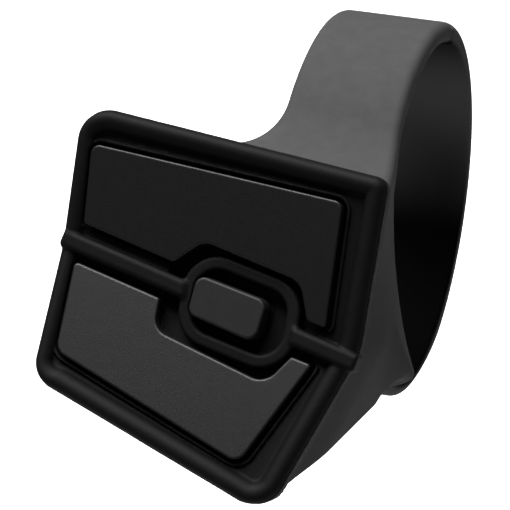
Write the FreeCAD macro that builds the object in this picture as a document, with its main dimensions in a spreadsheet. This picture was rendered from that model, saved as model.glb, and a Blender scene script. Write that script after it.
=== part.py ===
import FreeCAD, Part
import math
import os

import Sketcher
from FreeCAD import Placement, Rotation, Vector

# Bar-top switch unit: a clamp ring for a 31.8 mm handlebar that carries a keypad with an upper
# key, a lower key and a small centre key on a face folded into a shallow V.
#
# Everything is drawn in the face frame: X along the handlebar, -Y out of the keypad towards the
# rider, Z up the keypad, origin on the handlebar's axis in the middle of the band. A "depth" is a
# distance in front of the handlebar's axis, so it is -Y. Each finished piece is turned back by
# face_tilt about X into the part's own frame, where +Z is up.

os.makedirs("parts", exist_ok=True)
doc = FreeCAD.newDocument("bar_top_switch")

DIMENSIONS = [
    ("face_tilt", 37.0),           # the keypad looks this far up from the rider's horizontal
    # handlebar ring
    ("bar_radius", 15.9),
    ("ring_radius", 17.9),
    ("relief_radius", 16.4),       # the housing's saddle on both sides of the ring, clear of the bar
    ("band_half_width", 5.1),
    ("ring_sweep", 5.0),           # radius of the sweep from the ring into the keypad's top wall
    ("edge_sweep", 5.5),           # radius of the sweep from the ring's left edge into that wall
    ("top_wall", 1.0),
    ("root_end", 200.0),           # the ring's root runs on inside the keypad to this angle
    ("root_drop", 6.0),
    ("gusset_foot", 1.55),         # where the left sweep meets the keypad's top wall
    ("gusset_depth", 10.0),
    ("taper_edge", 6.95),          # the right wall's x before it tapers back to the ring
    ("taper_front", 19.5),
    ("taper_back", 13.5),
    ("taper_step", 0.1),
    ("chin_left", 0.4),            # the housing's chin runs on under the bar beside the clamp's lug
    ("chin_back", 3.3),
    ("chin_gap", 0.3),
    ("chin_top", 4.0),
    # film hinge of the band
    ("hinge_angle", 5.0),          # in front of the ring's top, about the handlebar
    ("hinge_bead", 0.65),
    ("hinge_gap", 0.25),
    ("hinge_clearance", 0.05),
    ("band_stop", -125.0),         # the band's blank ends at this angle, past the lug
    # keypad surface
    ("fold_x", -5.08),
    ("fold_z", -12.6),
    ("fold_depth", 24.5),
    ("fold_slope", 12.4),          # the rib runs down to the right by this angle
    ("fold_rise", 8.2),            # each half of the keypad rises out of the fold by this angle
    ("outer_reach", 31.0),
    ("head_back", 9.0),
    ("rim_height", 2.0),           # the boot's rim stands this far in front of the housing's wall
    ("valley_drop", 0.9),
    ("rim_width", 1.1),
    ("rib_rise", 0.35),
    ("rib_width", 1.6),
    ("rib_reach", 14.2),
    ("rib_corner", 0.3),
    ("rib_sink", 0.15),
    ("guard_width", 1.2),
    ("guard_front", 24.9),
    ("key_gap", 0.25),
    ("cap_thick", 1.2),            # a key's cap follows the folded surface
    ("cap_room", 1.75),            # depth of the boot's pocket under a cap
    ("block_drop", 0.3),
    # depths of the inner stack
    ("cavity_floor", 17.4),
    ("board_back", 18.6),
    ("board_front", 19.6),
    ("case_front", 21.0),
    ("plunger_front", 21.6),
    ("post_back", 21.65),
    ("pin_back", 21.2),
    ("frame_back", 21.4),
    ("frame_front", 22.4),
    ("membrane_front", 22.7),
    ("key_back", 23.4),
    ("nub_back", 23.3),
    ("nub_front", 25.2),
    ("nub_chamfer", 0.35),
    # housing walls
    ("side_inset", 0.3),
    ("wall", 1.6),
    ("floor_wall", 1.5),
    ("frame_clearance", 0.15),
    # key posts and guide pins
    ("post_radius", 1.1),
    ("pin_radius", 0.8),
    ("post_root", 0.2),
    ("guide_clearance", 0.05),
    ("membrane_clearance", 0.15),
    # switches
    ("case_size", 4.5),
    ("plunger_radius", 1.0),
    ("plunger_back", 20.55),
    ("dome_radius", 1.6),
    ("dome_height", 0.2),
    ("dome_foot", 0.05),
    ("dome_clearance", 0.1),
    ("case_base", 0.2),
    ("case_lid", 0.25),
    ("case_mouth", 0.5),
    # small screws
    ("small_screw_radius", 0.6),
    ("small_head_radius", 1.0),
    ("small_head_height", 0.55),
    ("pilot_radius", 0.62),
    ("stand_radius", 1.3),
    ("stand_root", 0.3),
    ("pilot_root", 0.2),
    ("slot_width", 0.3),
    ("slot_length", 1.6),
    ("slot_floor", 0.3),
    ("frame_screw_length", 2.8),
    ("board_screw_length", 1.9),
    # clamp
    ("clamp_x", -3.2),
    ("clamp_z", -20.7),
    ("lug_front", 8.0),
    ("lug_back", 5.0),
    ("lug_half_width", 3.1),
    ("lug_drop", 2.4),
    ("lug_rise", 7.7),
    ("boss_drop", 2.7),
    ("boss_rise", 4.7),
    ("boss_front", 18.0),
    ("clamp_screw_radius", 1.25),
    ("clamp_screw_tip", 14.7),
    ("seat_clearance", 0.02),
    ("lug_hole_radius", 1.4),
    ("boss_hole_radius", 1.75),
    ("boss_hole_front", 15.7),
    ("clamp_head_radius", 2.25),
    ("clamp_head_height", 2.5),
    ("socket_flats", 2.0),
    ("socket_depth", 1.3),
    ("washer_thick", 0.3),
    ("washer_radius", 2.5),
    ("washer_bore", 1.35),
    ("nut_flats", 4.8),
    ("nut_thick", 2.0),
    ("nut_back", 10.5),
    ("nut_bore", 1.6),
    ("nut_clearance", 0.05),
    ("nut_way", 6.0),
    # lead inlet
    ("gland_x", -14.0),
    ("gland_z", -16.9),
    ("gland_radius", 1.9),
    ("gland_nose_radius", 1.55),
    ("gland_bore", 1.25),
    ("gland_front", 17.3),
    ("gland_collar", 8.2),
    ("gland_nose", 6.6),
    ("gland_boss_radius", 2.8),
    ("gland_cover", 1.0),
    # parts on the board
    ("chip_size", 5.0),
    ("chip_height", 0.9),
    ("capacitor_length", 1.6),
    ("capacitor_width", 0.8),
    ("capacitor_height", 0.8),
    ("capacitor_pitch", 1.7),
    ("connector_height", 1.0),
    ("connector_length", 3.2),
    ("connector_width", 2.2),
]

sheet = doc.addObject("Spreadsheet::Sheet", "Dims")
for row, (name, value) in enumerate(DIMENSIONS, 1):
    sheet.set("A%d" % row, name)
    sheet.set("B%d" % row, str(value))
    sheet.setAlias("B%d" % row, name)
doc.recompute()
dim = dict(DIMENSIONS)

# Outlines in the keypad's plane: (x, z, corner radius), in order round each loop.
RIM = [(-20.4, 3.0, 2.8), (7.25, 0.28, 1.1), (6.78, -14.0, 4.0), (1.5, -28.8, 2.6), (-20.7, -20.7, 2.5)]
UPPER_KEY = [
    (-19.2, -0.2, 0.8), (3.8, -2.1, 0.8), (3.75, -12.7, 0.3), (2.0, -12.3, 0.5), (1.0, -9.2, 1.8),
    (-7.9, -7.1, 1.5), (-10.4, -9.2, 0.5), (-19.0, -7.1, 0.4),
]
LOWER_KEY = [
    (-19.3, -10.4, 0.4), (-11.1, -12.4, 0.3), (-11.0, -15.1, 1.6), (-0.6, -18.1, 1.8),
    (1.2, -15.5, 0.3), (3.1, -15.9, 0.3), (-1.4, -25.1, 1.2), (-19.2, -18.3, 1.3),
]
UPPER_BLOCK = [(-18.2, -1.1, 0.5), (2.9, -2.9, 0.5), (2.0, -7.8, 0.5), (-7.6, -6.2, 0.5), (-18.1, -6.4, 0.5)]
LOWER_BLOCK = [
    (-18.4, -11.5, 0.5), (-12.0, -13.1, 0.4), (-11.8, -15.9, 0.5), (-0.4, -19.1, 0.5),
    (-1.9, -23.8, 0.5), (-18.4, -17.6, 0.5),
]
GUARD = [(-8.8, -8.0, 2.6), (0.7, -10.1, 2.6), (0.7, -17.0, 2.6), (-8.8, -14.9, 2.6)]
NUB = [(-7.8, -10.2, 0.7), (-1.8, -11.5, 0.7), (-2.3, -14.4, 0.7), (-8.1, -13.2, 0.7)]
BOARD = [(-15.2, -0.4, 0.5), (2.0, -2.1, 0.5), (0.4, -21.3, 0.5), (-15.2, -19.4, 0.5)]

# Places in the keypad's plane: (x, z).
SWITCHES = {"upper": (-8.5, -4.0), "lower": (-6.5, -17.9), "centre": (-5.0, -12.3)}
GUIDE_PINS = {"upper": [(-15.5, -4.0), (0.8, -6.5)], "lower": [(-15.5, -14.5), (-1.8, -20.9)]}
FRAME_SCREWS = [(-17.0, -0.9), (3.7, -3.0), (3.3, -14.5), (-17.2, -17.3)]
BOARD_SCREWS = [(-13.8, -1.9), (0.4, -4.0), (-10.9, -18.5), (-0.8, -19.4)]
CHIP = (-12.0, -10.5)
CONNECTOR = (-10.6, -14.4)
CAPACITORS = (-0.6, -7.4)
RIB_MIDDLE = (-6.98, -12.18)

# Reaches of tools that pass every surface they cut.
FAR = 40.0
FAR_LEFT = "-25"
FAR_RIGHT = "10"
FAR_UP = 10.0

# The underside climbs backwards from the keypad's bottom edge to the band's free end: (y, z).
UNDERSIDE = [(-30.0, -30.95), (-26.3, -28.7), (-9.0, -18.2)]


# ---- helpers -------------------------------------------------------------------------------


def bind(thing, prop, formula):
    """Ties a property to the sheet; the formula's {word} parts are sheet aliases."""
    thing.setExpression(prop, formula.replace("{", "Dims.").replace("}", ""))


def face_plane(thing, back):
    """Lays a drawn object in the keypad's plane at a depth, its normal pointing at the rider."""
    thing.Placement = Placement(Vector(0, 0, 0), Rotation(Vector(1, 0, 0), 90))
    bind(thing, "Placement.Base.y", "-(%s)" % back)


def inset(corners, by):
    """Moves every side of a convex outline inwards."""
    moved = []
    count = len(corners)
    for i, (x, z, r) in enumerate(corners):
        ax, az = corners[i - 1][:2]
        bx, bz = corners[(i + 1) % count][:2]
        first = Vector(x - ax, z - az, 0).normalize()
        second = Vector(bx - x, bz - z, 0).normalize()
        half = (1 + first.dot(second)) / 2
        # inwards is to the right of a clockwise loop
        bisector = Vector(first.y + second.y, -first.x - second.x, 0) / 2
        moved.append((x + bisector.x / half * by, z + bisector.y / half * by, max(r - by, 0.2)))
    return moved


def rounded_loop(corners):
    """Lines and arcs round an outline whose corners carry their radii."""
    pieces = []
    ends = []
    count = len(corners)
    for i, (x, z, r) in enumerate(corners):
        here = Vector(x, z, 0)
        before = (Vector(*corners[i - 1][:2], 0) - here).normalize()
        after = (Vector(*corners[(i + 1) % count][:2], 0) - here).normalize()
        turn = before.getAngle(after)
        reach = r / math.tan(turn / 2)
        middle = (before + after).normalize() * (r / math.sin(turn / 2))
        start = here + before * reach
        stop = here + after * reach
        nearest = here + middle * (1 - math.sin(turn / 2))
        centre = here + middle
        circle = Part.Circle(centre, Vector(0, 0, 1), r)
        pieces.append(Part.ArcOfCircle(circle, *arc_angles(centre, start, nearest, stop)))
        ends.append((start, stop))
    for i in range(count):
        pieces.append(Part.LineSegment(ends[i - 1][1], ends[i][0]))
    return pieces


def arc_angles(centre, start, nearest, stop):
    """First and last angle of the counterclockwise arc that passes the corner's nearest point."""
    first, mid, last = (math.atan2(p.y - centre.y, p.x - centre.x) for p in (start, nearest, stop))
    full = 2 * math.pi
    if (mid - first) % full < (last - first) % full:
        return first, first + (last - first) % full
    return last, last + (first - last) % full


def drawing(name, loops):
    """A sketch of closed loops, each a list of lines and arcs."""
    sketch = doc.addObject("Sketcher::SketchObject", name)
    for loop in loops:
        sketch.addGeometry(loop, False)
    return sketch


def extruded(name, sketch, length, symmetric=False):
    solid = doc.addObject("Part::Extrusion", name)
    solid.Base = sketch
    solid.DirMode = "Normal"
    solid.Solid = True
    solid.Symmetric = symmetric
    bind(solid, "LengthFwd", length)
    return solid


def prism(name, corners, back, front):
    """An outline of the keypad's plane, from one depth to another."""
    sketch = drawing(name + "_outline", [rounded_loop(corners)])
    face_plane(sketch, back)
    return extruded(name, sketch, "(%s) - (%s)" % (front, back))


def rod(name, place, radius, back, front):
    """A round rod square to the keypad's plane."""
    solid = doc.addObject("Part::Cylinder", name)
    face_plane(solid, back)
    bind(solid, "Radius", radius)
    bind(solid, "Height", "(%s) - (%s)" % (front, back))
    bind(solid, "Placement.Base.x", str(place[0]))
    bind(solid, "Placement.Base.z", str(place[1]))
    return solid


def bar_rod(name, radius, left, right, y="0", z="0"):
    """A round rod along the handlebar."""
    solid = doc.addObject("Part::Cylinder", name)
    solid.Placement = Placement(Vector(0, 0, 0), Rotation(Vector(0, 1, 0), 90))
    bind(solid, "Radius", radius)
    bind(solid, "Height", "(%s) - (%s)" % (right, left))
    bind(solid, "Placement.Base.x", left)
    bind(solid, "Placement.Base.y", y)
    bind(solid, "Placement.Base.z", z)
    return solid


def block(name, left, right, back, front, bottom, top):
    """A box in the face frame, between two depths."""
    solid = doc.addObject("Part::Box", name)
    bind(solid, "Length", "(%s) - (%s)" % (right, left))
    bind(solid, "Width", "(%s) - (%s)" % (front, back))
    bind(solid, "Height", "(%s) - (%s)" % (top, bottom))
    bind(solid, "Placement.Base.x", left)
    bind(solid, "Placement.Base.y", "-(%s)" % front)
    bind(solid, "Placement.Base.z", bottom)
    return solid


def chip_block(name, centre, width, height, back, front):
    """A box centred on a place in the keypad's plane."""
    x, z = centre
    return block(
        name, "%g - %s / 2" % (x, width), "%g + %s / 2" % (x, width), back, front,
        "%g - %s / 2" % (z, height), "%g + %s / 2" % (z, height),
    )


def side_profile(name, edges, left, right):
    """A profile in the plane square to the handlebar, extruded along the handlebar."""
    sketch = drawing(name + "_profile", [edges])
    sketch.Placement = Placement(Vector(0, 0, 0), Rotation(Vector(1, 1, 1), 120))
    bind(sketch, "Placement.Base.x", left)
    return extruded(name, sketch, "(%s) - (%s)" % (right, left))


def polygon(points):
    vectors = [Vector(u, v, 0) for u, v in points]
    return [Part.LineSegment(vectors[i - 1], vectors[i]) for i in range(len(vectors))]


def in_front_of_fold(name, behind):
    """Everything in front of the folded keypad surface, moved back by a distance."""
    rise = FAR * math.tan(math.radians(dim["fold_rise"]))
    outline = [(0, 0), (-rise, FAR), (-rise - FAR, FAR), (-rise - FAR, -FAR), (-rise, -FAR)]
    sketch = drawing(name + "_profile", [polygon(outline)])
    along_rib = Rotation(Vector(0, 1, 0), dim["fold_slope"])
    sketch.Placement = Placement(Vector(0, 0, 0), along_rib * Rotation(Vector(1, 1, 1), 120))
    bind(sketch, "Placement.Base.x", "{fold_x}")
    bind(sketch, "Placement.Base.y", "%s - {fold_depth}" % behind)
    bind(sketch, "Placement.Base.z", "{fold_z}")
    return extruded(name, sketch, "%g" % (2 * FAR), symmetric=True)


def above_underside(name, lift):
    """Everything over the sloping underside, moved up by a distance."""
    outline = [(y, z + lift) for y, z in UNDERSIDE]
    outline += [(UNDERSIDE[-1][0], FAR_UP), (UNDERSIDE[0][0], FAR_UP)]
    return side_profile(name, polygon(outline), FAR_LEFT, FAR_RIGHT)


def joined(name, *pieces):
    solid = doc.addObject("Part::MultiFuse", name)
    solid.Shapes = list(pieces)
    solid.Refine = True
    return solid


def shared(name, first, second):
    solid = doc.addObject("Part::Common", name)
    solid.Base = first
    solid.Tool = second
    solid.Refine = True
    return solid


def cut(name, base, *tools):
    """Takes tools away from a solid; fails loudly when they take nothing."""
    solid = doc.addObject("Part::Cut", name)
    solid.Base = base
    solid.Tool = tools[0] if len(tools) == 1 else joined(name + "_tools", *tools)
    solid.Refine = True
    doc.recompute()
    if solid.Shape.Volume > base.Shape.Volume - 1e-6:
        raise RuntimeError("%s removes nothing" % name)
    return solid


def group(name, *pieces):
    """Separate solids kept as one sub-part, or one primitive in a wrapper that can be turned."""
    solid = doc.addObject("Part::Compound", name)
    solid.Links = list(pieces)
    return solid


PIECES = []


def finish(label, solid):
    """Names a sub-part and turns it from the face frame into the part's own frame."""
    solid.Label = label
    solid.Placement = Placement(Vector(0, 0, 0), Rotation(Vector(-1, 0, 0), dim["face_tilt"]))
    bind(solid, "Placement.Rotation.Angle", "{face_tilt}")
    PIECES.append(solid)
    return solid


def face_body(name, back, loops, length, round_holes=()):
    """A PartDesign body: one pad of an outline with its round holes, square to the keypad."""
    body = doc.addObject("PartDesign::Body", name)
    sketch = body_sketch(body, name + "_sketch", back)
    for loop in loops:
        sketch.addGeometry(loop, False)
    add_circles(sketch, round_holes)
    pad = body.newObject("PartDesign::Pad", name + "_pad")
    pad.Profile = sketch
    bind(pad, "Length", length)
    return body


def body_sketch(body, name, back):
    """A sketch on the body's own XZ plane, moved out to a depth."""
    plane = next(f for f in body.Origin.OriginFeatures if f.Role == "XZ_Plane")
    sketch = body.newObject("Sketcher::SketchObject", name)
    sketch.AttachmentSupport = (plane, [""])
    sketch.MapMode = "FlatFace"
    bind(sketch, "AttachmentOffset.Base.z", back)
    return sketch


def add_circles(sketch, circles):
    """Circles (place, radius formula), each with its radius bound to the sheet."""
    for (x, z), radius in circles:
        index = sketch.addGeometry(Part.Circle(Vector(x, z, 0), Vector(0, 0, 1), 1.0), False)
        constraint = sketch.addConstraint(Sketcher.Constraint("Radius", index, 1.0))
        bind(sketch, "Constraints[%d]" % constraint, radius)


def hexagon(centre, flats):
    x, z = centre
    reach = flats / math.sqrt(3)
    corners = [math.radians(60 * i) for i in range(6)]
    return polygon([(x + reach * math.cos(a), z + reach * math.sin(a)) for a in corners])


# ---- housing -------------------------------------------------------------------------------

CLAMP = (dim["clamp_x"], dim["clamp_z"])
GLAND = (dim["gland_x"], dim["gland_z"])


def hinge_point():
    """The band's hinge axis: (y, z) in the middle of the ring's wall."""
    angle = math.radians(dim["hinge_angle"])
    radius = (dim["bar_radius"] + dim["ring_radius"]) / 2
    return -radius * math.sin(angle), radius * math.cos(angle)


def ring_arc(radius, start, stop):
    """An arc about the handlebar; angles in degrees from the back, over the top, to the front."""
    circle = Part.Circle(Vector(0, 0, 0), Vector(0, 0, 1), radius)
    return Part.ArcOfCircle(circle, math.radians(start), math.radians(stop))


def at(radius, angle):
    return Vector(radius * math.cos(math.radians(angle)), radius * math.sin(math.radians(angle)), 0)


def band_root():
    """The ring from its hinge forward, swept into the keypad's top wall."""
    inner, outer, sweep = dim["bar_radius"], dim["ring_radius"], dim["ring_sweep"]
    start = 90 + dim["hinge_angle"]
    lift = dim["top_wall"] + sweep
    centre = Vector(-math.sqrt((outer + sweep) ** 2 - lift ** 2), lift, 0)
    leave = math.degrees(math.atan2(centre.y, centre.x))
    floor = Vector(centre.x, dim["top_wall"], 0)
    foot = Vector(centre.x, -dim["root_drop"], 0)
    stop = dim["root_end"]
    circle = Part.Circle(centre, Vector(0, 0, 1), sweep)
    edges = [
        Part.LineSegment(at(inner, start), at(outer, start)),
        ring_arc(outer, start, leave),
        Part.ArcOfCircle(circle, math.radians(-90), math.radians(leave - 180)),
        Part.LineSegment(floor, foot),
        Part.LineSegment(foot, at(inner, stop)),
        ring_arc(inner, start, stop),
    ]
    return side_profile("band_root", edges, "-{band_half_width}", "{band_half_width}")


def edge_gusset():
    """The sweep between the ring's left edge and the keypad's top wall, within the ring's wall."""
    sweep, left, foot = dim["edge_sweep"], -dim["band_half_width"], dim["gusset_foot"]
    # the gusset runs on into the ring and down into the keypad, so that all three join
    inside = left + 2.0
    below = foot - 4.0
    circle = Part.Circle(Vector(left - sweep, foot + sweep, 0), Vector(0, 0, 1), sweep)
    corners = [(left, foot + sweep), (inside, foot + sweep), (inside, below), (left - sweep, below),
               (left - sweep, foot)]
    edges = [Part.ArcOfCircle(circle, math.radians(-90), 0.0)] + polygon(corners)[1:]
    sketch = drawing("gusset_outline", [edges])
    face_plane(sketch, "{gusset_depth}")
    ring = bar_rod("gusset_ring", "{ring_radius}", FAR_LEFT, "0")
    return shared("edge_gusset", extruded("gusset_blank", sketch, "{gusset_depth}"), ring)


def side_taper():
    """What the right wall loses on its way back from the keypad to the ring."""
    ring = dim["band_half_width"] + dim["taper_step"]
    front = -dim["taper_front"]
    corners = [(dim["taper_edge"], front), (ring, -dim["taper_back"]), (ring, 0), (FAR, 0), (FAR, front)]
    sketch = drawing("taper_outline", [polygon(corners)])
    bind(sketch, "Placement.Base.z", "-%g" % FAR)
    return extruded("side_taper", sketch, "%g" % (2 * FAR))


def chin():
    """The ring's first stretch under the bar, to the right of the clamp's lug."""
    ring = bar_rod("chin_ring", "{ring_radius}", "{chin_left}", "{band_half_width}")
    room = block("chin_room", FAR_LEFT, FAR_RIGHT, "{chin_back}", "{ring_radius}",
                 "-{ring_radius} - 1", "-{chin_top}")
    return shared("chin", ring, room)


def housing():
    head = prism("head_blank", inset(RIM, dim["side_inset"]), "{head_back}", "{outer_reach}")
    head = shared("head_block", head, above_underside("head_limit", 0.0))
    head = cut("head", head, in_front_of_fold("rim_seat", "{rim_height}"), side_taper())
    clamp_boss = block(
        "clamp_boss", "{clamp_x} - {lug_half_width}", "{clamp_x} + {lug_half_width}",
        "{head_back}", "{boss_front}", "{clamp_z} - {boss_drop}",
        "{clamp_z} + {boss_rise}",
    )
    gland_boss = rod("gland_boss", GLAND, "{gland_boss_radius}", "{head_back}",
                     "{gland_front} + {gland_cover}")
    solid = joined("housing_solid", head, band_root(), edge_gusset(), chin(), clamp_boss, gland_boss)

    cavity = prism("cavity_blank", inset(RIM, dim["side_inset"] + dim["wall"]),
                   "{cavity_floor}", "{outer_reach}")
    cavity = shared("cavity", cavity, above_underside("cavity_limit", dim["floor_wall"]))
    y, z = hinge_point()
    nut_room = "{nut_flats} / 2 + {nut_clearance}"
    shell = cut(
        "housing_shell", solid,
        bar_rod("bar_bore", "{bar_radius}", FAR_LEFT, FAR_RIGHT),
        bar_rod("left_relief", "{relief_radius}", FAR_LEFT, "-{band_half_width}"),
        bar_rod("right_relief", "{relief_radius}", "{band_half_width}", FAR_RIGHT),
        cavity,
        bar_rod("hinge_groove", "{hinge_bead} + {hinge_clearance}", FAR_LEFT, FAR_RIGHT, str(y), str(z)),
        rod("screw_way", CLAMP, "{boss_hole_radius}", "{head_back} - 1", "{boss_hole_front}"),
        block("nut_pocket", "{clamp_x} - (%s)" % nut_room, "{clamp_x} + %s" % nut_room,
              "{nut_back} - {nut_clearance}", "{nut_back} + {nut_thick} + {nut_clearance}",
              "{clamp_z} - {nut_way}", "{clamp_z} + %s" % nut_room),
        rod("gland_seat", GLAND, "{gland_radius}", "{head_back} - 1", "{gland_front}"),
    )
    stands = []
    pilots = []
    for i, place in enumerate(BOARD_SCREWS):
        stands.append(rod("board_stand_%d" % i, place, "{stand_radius}",
                          "{cavity_floor} - {stand_root}", "{board_back}"))
        pilots.append(rod("board_pilot_%d" % i, place, "{pilot_radius}",
                          "{cavity_floor} - {pilot_root}", "{board_front}"))
    for i, place in enumerate(FRAME_SCREWS):
        stands.append(rod("frame_stand_%d" % i, place, "{stand_radius}",
                          "{cavity_floor} - {stand_root}", "{frame_back}"))
        pilots.append(rod("frame_pilot_%d" % i, place, "{pilot_radius}", "{board_back}",
                          "{frame_front}"))
    filled = joined("housing_with_stands", shell, *stands)
    return finish("housing", cut("housing", filled, *pilots))


# ---- clamp ---------------------------------------------------------------------------------


def clamp_band():
    """The ring's free arc: from the hinge over the back to the lug under the handlebar."""
    inner, outer = dim["bar_radius"], dim["ring_radius"]
    gap = math.degrees(dim["hinge_gap"] / ((inner + outer) / 2))
    start, stop = dim["band_stop"], 90 + dim["hinge_angle"] - gap
    edges = [
        ring_arc(outer, start, stop),
        Part.LineSegment(at(outer, stop), at(inner, stop)),
        ring_arc(inner, start, stop),
        Part.LineSegment(at(inner, start), at(outer, start)),
    ]
    arc = side_profile("band_arc", edges, "-{band_half_width}", "{band_half_width}")
    y, z = hinge_point()
    bead = bar_rod("hinge_bead", "{hinge_bead}", "-{band_half_width}", "{band_half_width}",
                   str(y), str(z))
    lug = block("lug_blank", "{clamp_x} - {lug_half_width}", "{clamp_x} + {lug_half_width}",
                "{lug_back}", "{lug_front}", "{clamp_z} - {lug_drop}", "{clamp_z} + {lug_rise}")
    band = joined("band_solid", arc, bead, lug)
    return finish("clamp_band", cut(
        "clamp_band", band,
        bar_rod("band_bore", "{bar_radius}", FAR_LEFT, FAR_RIGHT),
        bar_rod("lug_relief", "{relief_radius}", FAR_LEFT, "-{band_half_width}"),
        block("band_end", FAR_LEFT, FAR_RIGHT, "{lug_front}", "{bar_radius}",
              "-{ring_radius} - 1", "-{hinge_gap}"),
        block("chin_space", "{chin_left} - {chin_gap}", FAR_RIGHT, "{chin_back} - {chin_gap}",
              "{bar_radius}", "-{ring_radius} - 1", "-{hinge_gap}"),
        rod("lug_hole", CLAMP, "{lug_hole_radius}", "{lug_back} - 1", "{lug_front} + 1"),
    ))


def clamp_screw():
    """Socket-head screw whose head sits behind the lug, its shank pointing at the rider."""
    seat = "{lug_back} - {washer_thick} - {seat_clearance}"
    body = face_body("clamp_screw", seat, [], "{clamp_screw_tip} - {lug_back}",
                     [(CLAMP, "{clamp_screw_radius}")])
    head_sketch = body_sketch(body, "screw_head_sketch", seat + " - {clamp_head_height}")
    add_circles(head_sketch, [(CLAMP, "{clamp_head_radius}")])
    head = body.newObject("PartDesign::Pad", "screw_head")
    head.Profile = head_sketch
    bind(head, "Length", "{clamp_head_height}")
    doc.recompute()
    solid_volume = body.Shape.Volume
    socket_sketch = body_sketch(body, "socket_sketch", seat + " - {clamp_head_height}")
    socket_sketch.addGeometry(hexagon(CLAMP, dim["socket_flats"]), False)
    socket = body.newObject("PartDesign::Pocket", "screw_socket")
    socket.Profile = socket_sketch
    socket.Reversed = True
    bind(socket, "Length", "{socket_depth}")
    doc.recompute()
    if body.Shape.Volume >= solid_volume:
        raise RuntimeError("the socket cuts nothing")
    return finish("clamp_screw", body)


def screw_washer():
    body = face_body("screw_washer", "{lug_back} - {washer_thick}", [], "{washer_thick}",
                     [(CLAMP, "{washer_radius}"), (CLAMP, "{washer_bore}")])
    return finish("screw_washer", body)


def clamp_nut():
    x, z = CLAMP
    half = dim["nut_flats"] / 2
    square = [(x - half, z - half), (x - half, z + half), (x + half, z + half), (x + half, z - half)]
    body = face_body("clamp_nut", "{nut_back}", [polygon(square)], "{nut_thick}",
                     [(CLAMP, "{nut_bore}")])
    return finish("clamp_nut", body)


# ---- keypad --------------------------------------------------------------------------------


def rib(name, front):
    """The rib along the fold, its ends wrapped over the rim as small tabs."""
    reach, half = dim["rib_reach"], dim["rib_width"] / 2
    slope = math.radians(dim["fold_slope"])
    along = Vector(math.cos(slope), -math.sin(slope), 0)
    across = Vector(math.sin(slope), math.cos(slope), 0)
    middle = Vector(*RIB_MIDDLE, 0)
    corners = []
    for a, c in ((-1, 1), (1, 1), (1, -1), (-1, -1)):
        spot = middle + along * (a * reach) + across * (c * half)
        corners.append((spot.x, spot.y, dim["rib_corner"]))
    return prism(name, corners, "{fold_depth} - {rim_height} + {rib_sink}", front)


def grown(corners, by):
    return [(x, z, r) for x, z, r in inset(corners, -by)]


def key_pocket(side, corners, block_corners):
    """Room in the boot for a key: its cap's outline near the front, its block's further back."""
    cap = prism(side + "_cap_room", grown(corners, dim["key_gap"]), "{frame_front}", "{outer_reach}")
    cap = shared(side + "_cap_pocket", cap, in_front_of_fold(side + "_cap_floor", "{cap_room}"))
    return cap, prism(side + "_block_room", grown(block_corners, dim["key_gap"]),
                      "{membrane_front}", "{outer_reach}")


def front_boot():
    """The soft cover: rim, rib and guard ring in one moulding, a thin floor under the keys."""
    blank = prism("boot_blank", RIM, "{frame_front}", "{outer_reach}")
    blank = shared("boot_block", blank, above_underside("boot_limit", 0.0))
    blank = cut("boot_fold", blank, in_front_of_fold("boot_front", "0"))
    walls = prism("boot_walls", inset(RIM, dim["side_inset"] + dim["wall"]), "{frame_front}",
                  "{outer_reach}")
    plug = shared("boot_plug", shared("plug_block", blank, walls),
                  above_underside("plug_limit", dim["floor_wall"]))
    flange = shared("boot_flange", blank, in_front_of_fold("flange_back", "{rim_height}"))
    rib_front = "{fold_depth} + {rib_rise}"
    guard_outer = prism("guard_outer", grown(GUARD, dim["guard_width"] / 2), "{frame_front}",
                        "{guard_front}")
    guard_inner = prism("guard_inner", inset(GUARD, dim["guard_width"] / 2),
                        "{fold_depth} - {valley_drop}", "{outer_reach}")
    valley = prism("valley_blank", inset(RIM, dim["rim_width"]), "{frame_front}", "{outer_reach}")
    valley = shared("valley", valley, in_front_of_fold("valley_front", "{valley_drop}"))
    basin = cut("boot_basin", joined("boot_solid", plug, flange), valley)
    raised = cut("boot_raised", joined("boot_ribbed", basin, rib("rib_bar", rib_front), guard_outer),
                 guard_inner)
    holes = []
    for side in ("upper", "lower"):
        holes.append(rod("boot_post_" + side, SWITCHES[side],
                         "{post_radius} + {membrane_clearance}", "{frame_back}", "{outer_reach}"))
        for i, place in enumerate(GUIDE_PINS[side]):
            holes.append(rod("boot_pin_%s_%d" % (side, i), place,
                             "{pin_radius} + {membrane_clearance}", "{frame_back}",
                             "{outer_reach}"))
    holes.append(rod("boot_post_centre", SWITCHES["centre"],
                     "{post_radius} + {membrane_clearance}", "{frame_back}", "{outer_reach}"))
    centre_room = prism("centre_room", grown(NUB, dim["key_gap"]), "{membrane_front}",
                        "{outer_reach}")
    return finish("front_boot", cut(
        "front_boot", raised, *key_pocket("upper", UPPER_KEY, UPPER_BLOCK),
        *key_pocket("lower", LOWER_KEY, LOWER_BLOCK), centre_room, *holes,
    ))


def big_key(side, corners, block_corners):
    """A key cap with its actuating post and two guide pins."""
    blank = prism(side + "_cap_blank", corners, "{membrane_front}", "{outer_reach}")
    blank = shared(side + "_cap_slab", blank, in_front_of_fold(side + "_back", "{cap_thick}"))
    cap = cut(side + "_cap", blank, in_front_of_fold(side + "_front", "0"))
    under = prism(side + "_block_blank", block_corners, "{key_back}", "{outer_reach}")
    under = cut(side + "_block", under, in_front_of_fold(side + "_block_front", "{block_drop}"))
    root = "{key_back} + {post_root}"
    post = rod(side + "_post", SWITCHES[side], "{post_radius}", "{post_back}", root)
    pins = [
        rod("%s_pin_%d" % (side, i), place, "{pin_radius}", "{pin_back}", root)
        for i, place in enumerate(GUIDE_PINS[side])
    ]
    return finish(side + "_key", joined(side + "_key", cap, under, post, *pins))


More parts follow.
